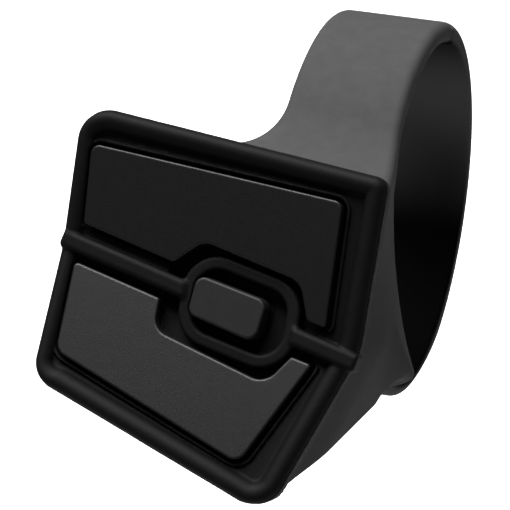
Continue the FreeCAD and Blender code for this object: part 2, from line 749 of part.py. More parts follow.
def centre_key():
    """The small raised key in the guard ring."""
    cap = prism("nub_cap", NUB, "{nub_back}", "{nub_front}")
    doc.recompute()
    crown = doc.addObject("Part::Chamfer", "nub_crown")
    crown.Base = cap
    front = -dim["nub_front"]
    rim_edges = [
        i + 1 for i, edge in enumerate(cap.Shape.Edges)
        if all(abs(v.Point.y - front) < 1e-6 for v in edge.Vertexes)
    ]
    crown.Edges = [(i, dim["nub_chamfer"], dim["nub_chamfer"]) for i in rim_edges]
    post = rod("centre_post", SWITCHES["centre"], "{post_radius}", "{post_back}",
               "{nub_back} + {post_root}")
    return finish("centre_key", joined("centre_key", crown, post))


def key_frame():
    """The stiff plate that guides the keys' posts and holds the board stack down."""
    clearance = dim["frame_clearance"]
    outline = inset(RIM, dim["side_inset"] + dim["wall"] + clearance)
    blank = prism("frame_blank", outline, "{frame_back}", "{frame_front}")
    plate = shared("frame_plate", blank, above_underside("frame_limit", dim["floor_wall"] + clearance))
    holes = [
        rod("frame_post_" + side, place, "{post_radius} + {guide_clearance}", "{frame_back} - 1",
            "{frame_front} + 1")
        for side, place in SWITCHES.items()
    ]
    for side, places in GUIDE_PINS.items():
        for i, place in enumerate(places):
            holes.append(rod("frame_pin_%s_%d" % (side, i), place,
                             "{pin_radius} + {guide_clearance}", "{frame_back} - 1",
                             "{frame_front} + 1"))
    for i, place in enumerate(FRAME_SCREWS):
        holes.append(rod("frame_way_%d" % i, place, "{pilot_radius}", "{frame_back} - 1",
                         "{frame_front} + 1"))
        holes.append(rod("frame_sink_%d" % i, place, "{small_head_radius} + {guide_clearance}",
                         "{frame_front} - {small_head_height}", "{frame_front} + 1"))
    return finish("key_frame", cut("key_frame", plate, *holes))


def small_screws(label, places, length, seat):
    """Small pan-head screws driven towards the handlebar, their heads on a seat depth."""
    screws = []
    for i, place in enumerate(places):
        shank = rod("%s_shank_%d" % (label, i), place, "{small_screw_radius}",
                    "%s - %s" % (seat, length), "%s + {small_head_height}" % seat)
        head = rod("%s_head_%d" % (label, i), place, "{small_head_radius}", seat,
                   "%s + {small_head_height}" % seat)
        slot = chip_block("%s_slot_%d" % (label, i), place, "{slot_width}", "{slot_length}",
                          "%s + {slot_floor}" % seat, "%s + 1" % seat)
        screws.append(cut("%s_%d" % (label, i), joined("%s_blank_%d" % (label, i), shank, head),
                          slot))
    return finish(label, group(label, *screws))


# ---- electronics ---------------------------------------------------------------------------


def circuit_board():
    holes = [(place, "{pilot_radius}") for place in BOARD_SCREWS]
    body = face_body("circuit_board", "{board_back}", [rounded_loop(BOARD)],
                     "{board_front} - {board_back}", holes)
    return finish("circuit_board", body)


def switch(side):
    """A dome switch: an open case, its snap dome and the plunger above it."""
    place = SWITCHES[side]
    blank = chip_block(side + "_case_blank", place, "{case_size}", "{case_size}",
                       "{board_front}", "{case_front}")
    room = rod(side + "_case_room", place, "{dome_radius} + {dome_clearance}",
               "{board_front} + {case_base}", "{case_front} - {case_lid}")
    mouth = rod(side + "_case_mouth", place, "{plunger_radius} + {guide_clearance}",
                "{board_front} + {case_mouth}", "{case_front} + 1")
    finish(side + "_switch_case", cut(side + "_switch_case", blank, room, mouth))
    plunger = rod(side + "_plunger", place, "{plunger_radius}", "{plunger_back}", "{plunger_front}")
    finish(side + "_switch_plunger", group(side + "_switch_plunger", plunger))
    dome = doc.addObject("Part::Cone", side + "_dome")
    base = "{board_front} + {case_base}"
    face_plane(dome, base)
    bind(dome, "Radius1", "{dome_radius}")
    bind(dome, "Radius2", "{dome_radius} / 3")
    bind(dome, "Height", "{dome_height}")
    bind(dome, "Placement.Base.x", str(place[0]))
    bind(dome, "Placement.Base.z", str(place[1]))
    foot = rod(side + "_dome_foot", place, "{dome_radius}", base, base + " + {dome_foot}")
    finish(side + "_switch_dome", joined(side + "_switch_dome", dome, foot))


def board_parts():
    chip = chip_block("chip", CHIP, "{chip_size}", "{chip_size}", "{board_front}",
                      "{board_front} + {chip_height}")
    finish("controller_chip", group("controller_chip", chip))
    x, z = CAPACITORS
    capacitors = []
    for i in range(3):
        place = (x, z - i * dim["capacitor_pitch"])
        capacitors.append(chip_block("capacitor_%d" % i, place, "{capacitor_length}",
                                     "{capacitor_width}", "{board_front}",
                                     "{board_front} + {capacitor_height}"))
    finish("board_capacitors", group("board_capacitors", *capacitors))
    connector = chip_block("connector", CONNECTOR, "{connector_length}", "{connector_width}",
                           "{board_back} - {connector_height}", "{board_back}")
    finish("lead_connector", group("lead_connector", connector))


def cable_gland():
    """A rubber bush in the housing's back; the lead leaves it under the handlebar."""
    bush = rod("gland_bush", GLAND, "{gland_radius}", "{gland_collar}", "{gland_front}")
    nose = doc.addObject("Part::Cone", "gland_nose")
    face_plane(nose, "{gland_nose}")
    bind(nose, "Radius1", "{gland_nose_radius}")
    bind(nose, "Radius2", "{gland_radius}")
    bind(nose, "Height", "{gland_collar} - {gland_nose}")
    bind(nose, "Placement.Base.x", "{gland_x}")
    bind(nose, "Placement.Base.z", "{gland_z}")
    solid = joined("gland_solid", bush, nose)
    return finish("cable_gland", cut(
        "cable_gland", solid,
        rod("gland_way", GLAND, "{gland_bore}", "{gland_nose} - 1", "{gland_front} + 1"),
    ))


housing()
clamp_band()
clamp_screw()
screw_washer()
clamp_nut()
front_boot()
big_key("upper", UPPER_KEY, UPPER_BLOCK)
big_key("lower", LOWER_KEY, LOWER_BLOCK)
centre_key()
key_frame()
small_screws("frame_screws", FRAME_SCREWS, "{frame_screw_length}",
             "{frame_front} - {small_head_height}")
circuit_board()
small_screws("board_screws", BOARD_SCREWS, "{board_screw_length}", "{board_front}")
for side in SWITCHES:
    switch(side)
board_parts()
cable_gland()
doc.recompute()

for thing in doc.Objects:
    if "Invalid" in thing.State or "Error" in thing.State:
        raise RuntimeError("%s is %s" % (thing.Label, thing.State))
for piece in PIECES:
    shape = piece.Shape
    if shape.isNull() or not shape.isValid():
        raise RuntimeError("%s has no valid shape" % piece.Label)
    box = shape.BoundBox
    print("%-24s solids %d volume %8.2f box %s" % (
        piece.Label, len(shape.Solids), shape.Volume,
        " ".join("%.1f" % v for v in (box.XMin, box.XMax, box.YMin, box.YMax, box.ZMin, box.ZMax))))
    shape.exportStep("parts/%s.step" % piece.Label)
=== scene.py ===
import math

import bpy
import numpy as np
from mathutils import Matrix, Vector


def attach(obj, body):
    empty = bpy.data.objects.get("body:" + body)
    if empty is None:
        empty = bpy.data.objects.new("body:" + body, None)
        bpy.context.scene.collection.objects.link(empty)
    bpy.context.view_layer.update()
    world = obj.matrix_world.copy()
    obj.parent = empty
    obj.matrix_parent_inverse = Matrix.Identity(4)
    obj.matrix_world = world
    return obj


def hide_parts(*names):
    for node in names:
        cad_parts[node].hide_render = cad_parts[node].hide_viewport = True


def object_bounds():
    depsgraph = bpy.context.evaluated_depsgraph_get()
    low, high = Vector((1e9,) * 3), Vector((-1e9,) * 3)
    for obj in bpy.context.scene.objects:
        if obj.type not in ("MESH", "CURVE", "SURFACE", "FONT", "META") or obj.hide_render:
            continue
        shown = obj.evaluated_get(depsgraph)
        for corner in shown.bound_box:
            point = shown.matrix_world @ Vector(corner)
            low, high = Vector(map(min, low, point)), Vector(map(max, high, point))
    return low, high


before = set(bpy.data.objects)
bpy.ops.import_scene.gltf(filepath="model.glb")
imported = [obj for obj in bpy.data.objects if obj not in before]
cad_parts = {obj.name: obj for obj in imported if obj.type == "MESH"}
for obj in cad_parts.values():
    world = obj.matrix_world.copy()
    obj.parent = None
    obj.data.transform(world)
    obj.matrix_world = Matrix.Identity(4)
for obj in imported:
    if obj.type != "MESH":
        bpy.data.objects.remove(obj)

cad_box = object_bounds()

# The looks of the bar-top switch unit. Each visible moulding is drawn as a distance field in the
# keypad's own frame, in millimetres: x along the handlebar, -y out of the keypad, z up it, origin
# on the handlebar's axis. "depth" is -y. A piece is meshed from its field and turned back by the
# keypad's tilt into the row's frame, in metres.

MM = 0.001
TILT = math.radians(37.0)

# Sizes of rounded edges and filleted creases.
HAIR, CRISP, FINE, SLIGHT, SMALL, MILD, SOFT, FULL = 0.05, 0.1, 0.12, 0.15, 0.2, 0.3, 0.5, 0.8

# Handlebar ring.
BORE, RING, RELIEF = 15.9, 17.9, 16.4
HALF_BAND, BAND_LEFT = 5.1, 5.3
BAND_EXTRA = 0.1       # the ring's right edge stands this much past the half width
THINNING, THINNING_FALL = 0.8, (9.0, 15.5)   # the ring's wall thins this much under the handlebar
EDGE = 0.9             # round along the ring's edges
BORE_EDGE = 0.35       # round along the band's bore
SPLIT_Z = -4.0         # below this the ring belongs to the chin and the band, above it to the root
NO_LIMIT = -9.0        # a distance so far inside that it cuts nothing

# Hinge between the housing's root and the band.
HINGE_ANGLE = math.radians(5.0)
HINGE_RADIUS = 16.9
BEAD, BEAD_PLAY, HINGE_GAP = 0.65, 0.05, 0.12

# Housing behind the keypad.
HEAD_BACK, HEAD_EDGE, CAVITY_FLOOR = 9.0, 0.6, 17.4
SWEEP = 5.0            # concave sweep from the ring into the keypad's top wall
UNDER_EDGE = 0.5       # round along the underside's edges
SWELL, SWELL_Y = 0.6, (-23.5, -17.0)         # the housing swells this much behind the rim
CHIN_LEFT, CHIN_BACK = 0.4, 3.3              # the housing's chin beside the clamp's lug
CHIN_EDGE, CHIN_FILLET, CHIN_GAP = 0.4, 3.0, 0.12
WALL, FLOOR_WALL, SEAT_INSET = 1.6, 1.5, 0.3
SIDE_WALL = 0.6        # least wall behind the tapering right side

# The right side: its x at the rim, how much that falls with z, and its taper back to the ring.
SIDE_FRONT, SIDE_FALL, SIDE_TALL, TAPER_Y = 7.05, 0.5, 14.8, (-26.5, -14.0)
# Near the ring it flares by a step and by a slope that grows downwards.
FLARE, FLARE_RISE = 0.35, (-6.0, 0.0)
FLARE_SLOPE, FLARE_TALL, FLARE_DEPTH = 0.18, 15, (3.3, 7.5)

# Folded keypad surface.
FOLD_X, FOLD_Z, FOLD_DEPTH = -5.08, -12.6, 24.5
SLOPE = math.radians(12.4)
RISE = math.radians(8.2)
FRAME_FRONT, MEMBRANE = 22.4, 22.7
THROUGH = (20.0, 26.0)                       # depths past both faces of the boot

# The rim's bead is narrow beside the keys' left ends and fuller elsewhere.
RIM_HEIGHT, VALLEY = 2.0, 0.9
RIM_HALF, RIM_EXTRA, RIM_WIDENS_X = 0.56, 0.32, (-20.4, -18.2)

# Keys: the caps, the posts that press the switches and the pins that guide them.
KEY_GAP, CAP_THICK, CAP_ROOM = 0.25, 1.2, 1.75
KEY_BACK, KEY_SKIN = 23.4, 0.4
POST, PIN, CLEARANCE = 1.1, 0.8, 0.15
POST_BACK, PIN_BACK, PEG_FRONT = 21.65, 21.2, 24.0
# A thin lip stands around each big key: its middle line, half thickness and drop from the surface,
# and how far it keeps from the rib and from the rim's outer edge.
LIP_MIDDLE, LIP_HALF, LIP_DROP, LIP_STOP, LIP_INSET = 0.44, 0.15, 0.6, 1.5, 0.3

# The rib along the fold.
RIB_MIDDLE, RIB_SLOPE = (-6.98, -11.88), math.radians(13.6)
RIB_HALF, RIB_FRONT, RIB_REACH, RIB_BACK = 0.8, 24.85, 14.2, 22.65
RIB_ROUND, RIB_END = 0.5, 0.35

# The guard around the small centre key, and the moat around the guard.
GUARD_HALF, GUARD_FRONT, GUARD_ROUND, GUARD_FOOT, WELL = 0.6, 24.5, 0.35, 0.3, 22.8
MOAT, MOAT_DROP, MOAT_INSET = 2.3, 0.1, 2.0
NUB_BACK, NUB_FRONT, NUB_EDGE, NUB_GAP, NUB_PEG_FRONT = 23.3, 25.2, 0.22, 0.16, 23.8
DRAFT, DRAFT_BACK = 0.05, 23.6               # the centre key narrows by this much per millimetre

# The underside climbs backwards: a point on it (y, z) and its slope.
UNDER_Y, UNDER_Z = -9.0, -18.2
UNDER_SLOPE = math.atan(0.607)

# Clamp (x, z), the band's lug, the housing's boss for the screw and its square nut's pocket.
CLAMP = (-3.2, -20.7)
LUG_BACK, LUG_FRONT, LUG_HALF, LUG_DROP, LUG_TOP = 5.0, 8.0, 3.1, 2.4, -13.0
BOSS_FRONT, BOSS_DROP, BOSS_TOP = 18.0, 2.7, -16.0
SCREW_HOLE, SCREW_HOLE_FRONT, LUG_HOLE = 1.75, 15.7, 1.4
NUT_HALF, NUT_DEPTH, NUT_MOUTH = 2.45, (10.45, 12.55), 6
OVERCUT = 1            # holes start this far outside the material

# Lead inlet (x, z): the boss for the gland and the hole through it.
GLAND = (-14.0, -16.9)
GLAND_BOSS, GLAND_FRONT, GLAND_HOLE, GLAND_HOLE_FRONT = 2.8, 18.3, 1.9, 17.3

# Outlines in the keypad's plane: (x, z, corner radius).
RIM = [
    (-20.6, 3.1, 2.8), (7.25, 0.28, 1.1), (6.78, -14.0, 4.0), (1.6, -28.9, 2.6),
    (-20.9, -20.8, 2.5),
]
# The rim without its right side, which the housing closes with its own tapering wall.
OPEN_RIM = [(-20.6, 3.1, 2.8), (11.5, -0.14, 0.3), (1.6, -28.9, 2.6), (-20.9, -20.8, 2.5)]
UPPER_KEY = [
    (-19.2, -0.2, 0.8), (3.8, -2.1, 0.8), (3.75, -12.7, 0.3), (2.0, -12.3, 0.5), (1.0, -9.2, 1.8),
    (-7.9, -7.1, 1.5), (-10.4, -9.2, 0.5), (-19.0, -7.1, 0.4),
]
LOWER_KEY = [
    (-19.3, -10.4, 0.4), (-11.1, -12.4, 0.3), (-11.0, -15.1, 1.6), (-0.6, -18.1, 1.8),
    (1.2, -15.5, 0.3), (3.1, -15.9, 0.3), (-1.4, -25.1, 1.2), (-19.2, -18.3, 1.3),
]
UPPER_BLOCK = [
    (-18.2, -1.1, 0.5), (2.9, -2.9, 0.5), (2.0, -7.8, 0.5), (-7.6, -6.2, 0.5),
    (-18.1, -6.4, 0.5),
]
LOWER_BLOCK = [
    (-18.4, -11.5, 0.5), (-12.0, -13.1, 0.4), (-11.8, -15.9, 0.5), (-0.4, -19.1, 0.5),
    (-1.9, -23.8, 0.5), (-18.4, -17.6, 0.5),
]
GUARD = [(-8.8, -8.0, 2.6), (0.7, -10.1, 2.6), (0.7, -17.0, 2.6), (-8.8, -14.9, 2.6)]
NUB = [(-8.05, -9.8, 0.9), (-1.45, -11.2, 1.0), (-1.95, -15.0, 1.1), (-8.4, -13.4, 0.9)]
POSTS = {"upper": (-8.5, -4.0), "lower": (-6.5, -17.9), "centre": (-5.0, -12.3)}
PINS = {"upper": [(-15.5, -4.0), (0.8, -6.5)], "lower": [(-15.5, -14.5), (-1.8, -20.9)]}


# ---- distance fields -----------------------------------------------------------------------


class Outline:
    """Signed distance to a polygon of the keypad's plane whose corners are rounded."""

    def __init__(self, corners):
        self.sharp = np.array([c[:2] for c in corners])
        self.starts, self.stops, self.arcs = [], [], []
        count = len(corners)
        loop = sum(
            self.sharp[i - 1][0] * self.sharp[i][1] - self.sharp[i][0] * self.sharp[i - 1][1]
            for i in range(count)
        )
        for i, (x, z, r) in enumerate(corners):
            here = np.array((x, z))
            before = self.sharp[i - 1] - here
            after = self.sharp[(i + 1) % count] - here
            before /= np.hypot(*before)
            after /= np.hypot(*after)
            half = math.acos(np.clip(before @ after, -1, 1)) / 2
            start = here + before * r / math.tan(half)
            stop = here + after * r / math.tan(half)
            middle = before + after
            centre = here + middle / np.hypot(*middle) * r / math.sin(half)
            turn = before[0] * after[1] - before[1] * after[0]
            self.starts.append(start)
            self.stops.append(stop)
            # a corner is convex when it turns the way the whole loop does
            self.arcs.append((centre, r, r / math.sin(half), start - centre, stop - centre,
                              turn * loop < 0))

    def __call__(self, x, z):
        x, z = np.broadcast_arrays(x, z)
        nearest = np.full(x.shape, 1e9)
        inside = np.zeros(x.shape, bool)
        for i in range(len(self.sharp)):
            (ax, az), (bx, bz) = self.stops[i - 1], self.starts[i]
            dx, dz = bx - ax, bz - az
            t = np.clip(((x - ax) * dx + (z - az) * dz) / (dx * dx + dz * dz), 0, 1)
            nearest = np.minimum(nearest, (x - ax - t * dx) ** 2 + (z - az - t * dz) ** 2)
            (px, pz), (qx, qz) = self.sharp[i - 1], self.sharp[i]
            if pz != qz:
                crosses = (pz > z) != (qz > z)
                inside ^= crosses & (x < (qx - px) * (z - pz) / (qz - pz) + px)
        nearest = np.sqrt(nearest)
        for centre, r, reach, first, last, convex in self.arcs:
            vx, vz = x - centre[0], z - centre[1]
            side = np.sign(first[0] * last[1] - first[1] * last[0])
            sector = ((first[0] * vz - first[1] * vx) * side >= 0) & (
                (vx * last[1] - vz * last[0]) * side >= 0)
            away = np.hypot(vx, vz)
            nearest = np.where(sector, np.minimum(nearest, np.abs(away - r)), nearest)
            inside = np.where(sector & (away > r) & (away <= reach), not convex, inside)
        return np.where(inside, -nearest, nearest)


def meet(a, b, r):
    """What two shapes share, the edge between them rounded."""
    return np.minimum(-r, np.maximum(a, b)) + np.hypot(np.maximum(a + r, 0), np.maximum(b + r, 0))


def join(a, b, r):
    """Both shapes together, the crease between them filleted."""
    return np.maximum(r, np.minimum(a, b)) - np.hypot(np.maximum(r - a, 0), np.maximum(r - b, 0))


def carve(a, b, r):
    """The first shape less the second, the edge between them rounded."""
    return meet(a, -b, r)


def span(value, low, high):
    """Distance to a slab between two values."""
    return np.maximum(low - value, value - high)


def ramp(value, low, high):
    """0 below low, 1 above high, smooth between."""
    t = np.clip((value - low) / (high - low), 0, 1)
    return t * t * (3 - 2 * t)


def fold(x, z):
    """Distance in front of the folded keypad surface, for a depth of 0."""
    across = (x - FOLD_X) * math.sin(SLOPE) + (z - FOLD_Z) * math.cos(SLOPE)
    return FOLD_DEPTH + np.abs(across) * math.tan(RISE)


def in_front(x, y, z):
    """Distance in front of the folded keypad surface, square to it."""
    return (-y - fold(x, z)) * math.cos(RISE)


def below(y, z):
    """Distance under the sloping underside."""
    return (UNDER_Z + (y - UNDER_Y) * math.tan(UNDER_SLOPE) - z) * math.cos(UNDER_SLOPE)


def peg(x, y, z, place, radius, back, front):
    """A round rod square to the keypad's plane."""
    return meet(np.hypot(x - place[0], z - place[1]) - radius, span(-y, back, front), CRISP)


def brick(x, y, z, wide, deep, tall, r):
    """A box between pairs of x, depth and z."""
    across = meet(span(x, *wide), span(z, *tall), r)
    return meet(across, span(-y, *deep), r)


rim, open_rim = Outline(RIM), Outline(OPEN_RIM)
upper_outline, lower_outline = Outline(UPPER_KEY), Outline(LOWER_KEY)
upper_block, lower_block = Outline(UPPER_BLOCK), Outline(LOWER_BLOCK)
guard, nub = Outline(GUARD), Outline(NUB)


def right_side(y, z):
    """x of the housing's right wall: it tapers from the rim to the ring and flares there."""
    front = SIDE_FRONT - SIDE_FALL * np.clip(-z / SIDE_TALL, 0, 1)
    flare = FLARE * ramp(-z, *FLARE_RISE) + FLARE_SLOPE * np.clip(-z, 0, FLARE_TALL)
    back = HALF_BAND + BAND_EXTRA + flare * ramp(-y, *FLARE_DEPTH)
    return front + (back - front) * ramp(y, *TAPER_Y)


def outside_ring(y, z):
    """Distance outside the ring's outer wall, which thins towards the bottom."""
    return np.hypot(y, z) - RING + THINNING * ramp(-z, *THINNING_FALL)


def hinge_side(y, z):
    """Distance in front of the plane through the handlebar's axis and the hinge."""
    return -y * math.cos(HINGE_ANGLE) - z * math.sin(HINGE_ANGLE)


def hinge_line(y, z):
    """Distance from the hinge's own axis."""
    return np.hypot(y + HINGE_RADIUS * math.sin(HINGE_ANGLE),
                    z - HINGE_RADIUS * math.cos(HINGE_ANGLE))


def housing(x, y, z):
    """Head, root of the ring, chin and bosses in one, less the cavity and the holes."""
    depth, radius = -y, np.hypot(y, z)
    shell = open_rim(x, z) + SEAT_INSET - SWELL * ramp(y, *SWELL_Y)
    head = meet(shell, below(y, z), UNDER_EDGE)
    head = meet(head, HEAD_BACK - depth, HEAD_EDGE)
    ring = meet(outside_ring(y, z), -BAND_LEFT - x, EDGE)
    root = np.maximum(meet(ring, -hinge_side(y, z), FINE), -(z - SPLIT_Z))
    chin = meet(meet(outside_ring(y, z), CHIN_LEFT - x, CHIN_EDGE),
                np.maximum(CHIN_BACK - depth, z - SPLIT_Z), FINE)
    head = join(head, chin, CHIN_FILLET)
    body = join(head, root, SWEEP)
    body = np.maximum(body, np.where(z > 0, -hinge_side(y, z), NO_LIMIT))
    body = meet(body, x - right_side(y, z), EDGE)
    boss = brick(x, y, z, (CLAMP[0] - LUG_HALF, CLAMP[0] + LUG_HALF), (HEAD_BACK, BOSS_FRONT),
                 (CLAMP[1] - BOSS_DROP, BOSS_TOP), SOFT)
    body = join(body, boss, FULL)
    body = join(body, peg(x, y, z, GLAND, GLAND_BOSS, HEAD_BACK, GLAND_FRONT), FULL)
    body = meet(body, BORE - radius, FULL)
    body = np.maximum(body, np.minimum(RELIEF - radius, -(x + HALF_BAND)))
    body = np.maximum(body, in_front(x, y, z) + RIM_HEIGHT)
    inner = np.maximum(rim(x, z) + SEAT_INSET + WALL, x - right_side(y, z) + SIDE_WALL)
    cavity = np.maximum(inner, np.maximum(CAVITY_FLOOR - depth, below(y, z) + FLOOR_WALL))
    body = carve(body, cavity, SMALL)
    body = carve(body, hinge_line(y, z) - BEAD - BEAD_PLAY, HAIR)
    hole = peg(x, y, z, CLAMP, SCREW_HOLE, HEAD_BACK - OVERCUT, SCREW_HOLE_FRONT)
    body = carve(body, hole, SLIGHT)
    pocket = brick(x, y, z, (CLAMP[0] - NUT_HALF, CLAMP[0] + NUT_HALF), NUT_DEPTH,
                   (CLAMP[1] - NUT_MOUTH, CLAMP[1] + NUT_HALF), CRISP)
    body = carve(body, pocket, SLIGHT)
    inlet = peg(x, y, z, GLAND, GLAND_HOLE, HEAD_BACK - OVERCUT, GLAND_HOLE_FRONT)
    return carve(body, inlet, SLIGHT)


def band(x, y, z):
    """The part of the ring that opens, with its hinge bead and its lug for the screw."""
    radius = np.hypot(y, z)
    sides = np.maximum(x - HALF_BAND - BAND_EXTRA, -BAND_LEFT - x)
    ring = meet(outside_ring(y, z), sides, EDGE)
    stop = np.where(x > CHIN_LEFT - CHIN_GAP, CHIN_BACK - CHIN_GAP, LUG_FRONT)
    ends = np.minimum(hinge_side(y, z) + HINGE_GAP, np.maximum(z - SPLIT_Z, -y - stop))
    ring = meet(ring, ends, FINE)
    lug = brick(x, y, z, (CLAMP[0] - LUG_HALF, CLAMP[0] + LUG_HALF), (LUG_BACK, LUG_FRONT),
                (CLAMP[1] - LUG_DROP, LUG_TOP), SOFT)
    body = join(ring, lug, FULL)
    body = meet(body, BORE - radius, BORE_EDGE)
    bead = np.maximum(hinge_line(y, z) - BEAD, np.abs(x) - HALF_BAND)
    body = join(body, bead, CRISP)
    hole = peg(x, y, z, CLAMP, LUG_HOLE, LUG_BACK - OVERCUT, LUG_FRONT + OVERCUT)
    return carve(body, hole, FINE)


def boot(x, y, z):
    """The soft front cover: rim, rib and guard, and the openings for the keys."""
    depth, outer, front = -y, rim(x, z), in_front(x, y, z)
    half = RIM_HALF + RIM_EXTRA * ramp(x, *RIM_WIDENS_X)
    basin = np.maximum(outer, front + VALLEY)
    bead = meet(np.abs(outer + half) - half, front, half)
    body = np.maximum(join(basin, bead, MILD), -(front + RIM_HEIGHT))
    plug = np.maximum(FRAME_FRONT - depth, front + VALLEY)
    plug = np.maximum(np.maximum(outer + SEAT_INSET + WALL, plug), below(y, z) + FLOOR_WALL)
    body = np.minimum(meet(body, below(y, z), MILD), plug)

    right, up = x - RIB_MIDDLE[0], z - RIB_MIDDLE[1]
    across = right * math.sin(RIB_SLOPE) + up * math.cos(RIB_SLOPE)
    along = right * math.cos(RIB_SLOPE) - up * math.sin(RIB_SLOPE)
    for outline in (upper_outline, lower_outline):
        lip = meet(np.abs(outline(x, z) - LIP_MIDDLE) - LIP_HALF, front + LIP_DROP, FINE)
        lip = np.maximum(lip, -(front + CAP_ROOM))
        lip = np.maximum(lip, LIP_STOP - np.abs(across))
        body = join(body, np.maximum(lip, outer + LIP_INSET), CRISP)
    moat = np.maximum(np.abs(guard(x, z) - MOAT / 2) - MOAT / 2, -(front + CAP_ROOM + MOAT_DROP))
    body = carve(body, np.maximum(moat, outer + MOAT_INSET), CRISP)
    rib = meet(np.abs(across) - RIB_HALF, depth - RIB_FRONT, RIB_ROUND)
    rib = meet(meet(rib, np.abs(along) - RIB_REACH, RIB_END), RIB_BACK - depth, SLIGHT)
    rib = meet(rib, CRISP - guard(x, z), RIB_ROUND)
    body = join(body, rib, SMALL)
    body = carve(body, np.maximum(guard(x, z), WELL - depth), HAIR)
    ring = meet(np.abs(guard(x, z)) - GUARD_HALF, depth - GUARD_FRONT, GUARD_ROUND)
    ring = np.maximum(ring, FRAME_FRONT + GUARD_FOOT - depth)
    body = join(body, ring, MILD)

    for outline, block in ((upper_outline, upper_block), (lower_outline, lower_block)):
        body = carve(body, np.maximum(outline(x, z) - KEY_GAP, -(front + CAP_ROOM)), CRISP)
        body = carve(body, np.maximum(block(x, z) - KEY_GAP, MEMBRANE - depth), CRISP)
    body = carve(body, np.maximum(nub(x, z) - NUB_GAP, MEMBRANE - depth), CRISP)
    for side in POSTS:
        body = carve(body, peg(x, y, z, POSTS[side], POST + CLEARANCE, *THROUGH), HAIR)
        for place in PINS.get(side, ()):
            body = carve(body, peg(x, y, z, place, PIN + CLEARANCE, *THROUGH), HAIR)
    return body


def big_key(side, outline, block):
    """The upper or the lower key: a cap, its thick underside, a post and two guide pins."""
    def field(x, y, z):
        depth, front = -y, in_front(x, y, z)
        cap = meet(outline(x, z), front, SMALL)
        cap = meet(cap, -(front + CAP_THICK), CRISP)
        under = np.maximum(block(x, z), np.maximum(front + KEY_SKIN, KEY_BACK - depth))
        body = join(cap, under, CRISP)
        body = join(body, peg(x, y, z, POSTS[side], POST, POST_BACK, PEG_FRONT), CRISP)
        for place in PINS[side]:
            body = join(body, peg(x, y, z, place, PIN, PIN_BACK, PEG_FRONT), CRISP)
        return body
    return field


def centre_key(x, y, z):
    """The small key inside the guard, on a post of its own."""
    depth = -y
    draft = DRAFT * np.clip(depth - DRAFT_BACK, 0, None)
    cap = meet(nub(x, z) + draft, depth - NUB_FRONT, NUB_EDGE)
    cap = meet(cap, NUB_BACK - depth, CRISP)
    return join(cap, peg(x, y, z, POSTS["centre"], POST, POST_BACK, NUB_PEG_FRONT), CRISP)


# ---- meshing -------------------------------------------------------------------------------

CUBE = [(i, j, k) for i in (0, 1) for j in (0, 1) for k in (0, 1)]
CUBE_EDGES = [(a, b) for a in range(8) for b in range(a + 1, 8)
              if sum(abs(CUBE[a][n] - CUBE[b][n]) for n in range(3)) == 1]
MARGIN = 2             # empty cells around a field's box
PROBE, NORMAL_PROBE = 0.02, 0.03             # half lengths over which a gradient is measured
SETTLING, MOST_MOVE, LEAST_GRADE = 4, 0.4, 0.2   # rounds and bounds of drawing corners on


def slope_of(field, points, step):
    """The field's gradient at some points."""
    columns = []
    for axis in range(3):
        shift = np.zeros(3)
        shift[axis] = step
        columns.append(field(*(points + shift).T) - field(*(points - shift).T))
    return np.stack(columns, 1) / (2 * step)


def surface_net(field, low, high, step):
    """Quads over a field's zero level, their corners drawn onto it, and the normals there."""
    low = np.array(low, float) - MARGIN * step
    sizes = [int(math.ceil((h + MARGIN * step - l) / step)) + 1 for l, h in zip(low, high)]
    axes = [l + step * np.arange(n) for l, n in zip(low, sizes)]
    values = field(*np.meshgrid(*axes, indexing="ij", sparse=True))
    values = np.broadcast_to(values, sizes)
    inside = values < 0
    cells = [n - 1 for n in sizes]
    some = np.zeros(cells, bool)
    every = np.ones(cells, bool)
    for i, j, k in CUBE:
        part = inside[i:i + cells[0], j:j + cells[1], k:k + cells[2]]
        some |= part
        every &= part
    active = np.argwhere(some & ~every)
    index = np.full(cells, -1)
    index[tuple(active.T)] = np.arange(len(active))
    corner = np.stack([values[tuple((active + c).T)] for c in CUBE], 1)
    total = np.zeros((len(active), 3))
    count = np.zeros(len(active))
    for a, b in CUBE_EDGES:
        va, vb = corner[:, a], corner[:, b]
        crosses = (va < 0) != (vb < 0)
        t = np.where(crosses, va / np.where(crosses, va - vb, 1), 0)[:, None]
        crossing = np.array(CUBE[a]) + t * (np.array(CUBE[b]) - np.array(CUBE[a]))
        total += crosses[:, None] * crossing
        count += crosses
    points = low + step * (active + total / count[:, None])
    for _ in range(SETTLING):
        grade = slope_of(field, points, PROBE)
        value = field(*points.T)
        size = np.maximum((grade ** 2).sum(1), LEAST_GRADE)
        move = np.clip(value / size, -MOST_MOVE * step, MOST_MOVE * step)[:, None] * grade
        points = points - move
    quads = []
    for axis in range(3):
        u, v = (axis + 1) % 3, (axis + 2) % 3
        first = np.take(inside, range(sizes[axis] - 1), axis)
        second = np.take(inside, range(1, sizes[axis]), axis)
        edges = np.argwhere(first != second)
        edges = edges[(edges[:, u] > 0) & (edges[:, v] > 0)
                      & (edges[:, u] < cells[u]) & (edges[:, v] < cells[v])]
        solid_first = first[tuple(edges.T)]
        quad = []
        for du, dv in ((1, 1), (0, 1), (0, 0), (1, 0)):
            cell = edges.copy()
            cell[:, u] -= du
            cell[:, v] -= dv
            quad.append(index[tuple(cell.T)])
        quad = np.stack(quad, 1)
        quads.append(np.where(solid_first[:, None], quad, quad[:, ::-1]))
    normals = slope_of(field, points, NORMAL_PROBE)
    normals /= np.maximum(np.linalg.norm(normals, axis=1), 1e-9)[:, None]
    return points, np.concatenate(quads), normals


def to_row(vectors):
    """Turns keypad-frame vectors into the row's frame."""
    x, y, z = vectors.T
    return np.stack([x, y * math.cos(TILT) + z * math.sin(TILT),
                     -y * math.sin(TILT) + z * math.cos(TILT)], 1)


